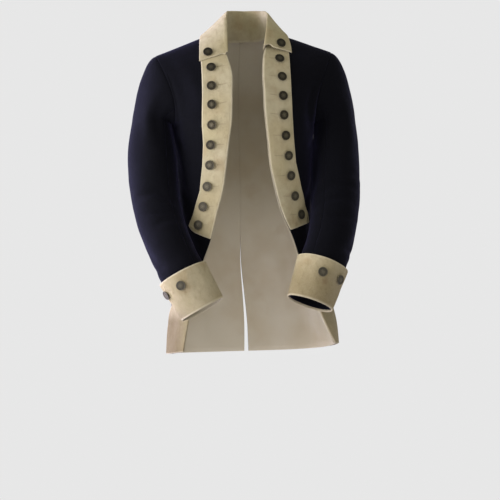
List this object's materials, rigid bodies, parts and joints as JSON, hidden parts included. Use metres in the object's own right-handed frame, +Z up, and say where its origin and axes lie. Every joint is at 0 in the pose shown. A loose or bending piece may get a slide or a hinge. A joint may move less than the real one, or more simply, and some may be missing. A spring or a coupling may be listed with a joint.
{
  "type": "worn wool coat with turned-back lapels and cuffs",
  "caption": "Hollow worn coat in dark wool, open at the front, with buff collar, lapels, cuffs and skirt turnbacks and domed metal buttons.",
  "frame": {"origin": "where the shoulders carry the coat, in the middle of the neck opening", "axes": "+Z up, -Y the way the coat faces, +X towards the wearer's left"},
  "size_m": [0.5437, 0.3544, 0.8069],
  "materials": {
    "navy_wool": "matt napped wool",
    "buff_wool": "matt felted wool, faintly stained",
    "cream_lining": "matt plain weave",
    "aged_metal": "aged, dull"
  },
  "bodies": {
    "root": {"back_left": "navy_wool", "back_right": "navy_wool", "button_collar_left": "aged_metal", "button_collar_right": "aged_metal", "button_cuff_left_1": "aged_metal", "button_cuff_left_2": "aged_metal", "button_cuff_right_1": "aged_metal", "button_cuff_right_2": "aged_metal", "button_lapel_left_1": "aged_metal", "button_lapel_left_2": "aged_metal", "button_lapel_left_3": "aged_metal", "button_lapel_left_4": "aged_metal", "button_lapel_left_5": "aged_metal", "button_lapel_left_6": "aged_metal", "button_lapel_left_7": "aged_metal", "button_lapel_left_8": "aged_metal", "button_lapel_left_9": "aged_metal", "button_lapel_right_1": "aged_metal", "button_lapel_right_2": "aged_metal", "button_lapel_right_3": "aged_metal", "button_lapel_right_4": "aged_metal", "button_lapel_right_5": "aged_metal", "button_lapel_right_6": "aged_metal", "button_lapel_right_7": "aged_metal", "button_lapel_right_8": "aged_metal", "button_lapel_right_9": "aged_metal", "collar": "buff_wool", "cuff_left": "buff_wool", "cuff_right": "buff_wool", "front_left": "navy_wool", "front_right": "navy_wool", "lapel_left": "buff_wool", "lapel_right": "buff_wool", "lining_back_left": "cream_lining", "lining_back_right": "cream_lining", "lining_front_left": "cream_lining", "lining_front_right": "cream_lining", "sleeve_top_left": "navy_wool", "sleeve_top_right": "navy_wool", "sleeve_under_left": "navy_wool", "sleeve_under_right": "navy_wool", "turnback_left": "buff_wool", "turnback_right": "buff_wool"}
  },
  "joints": []
}
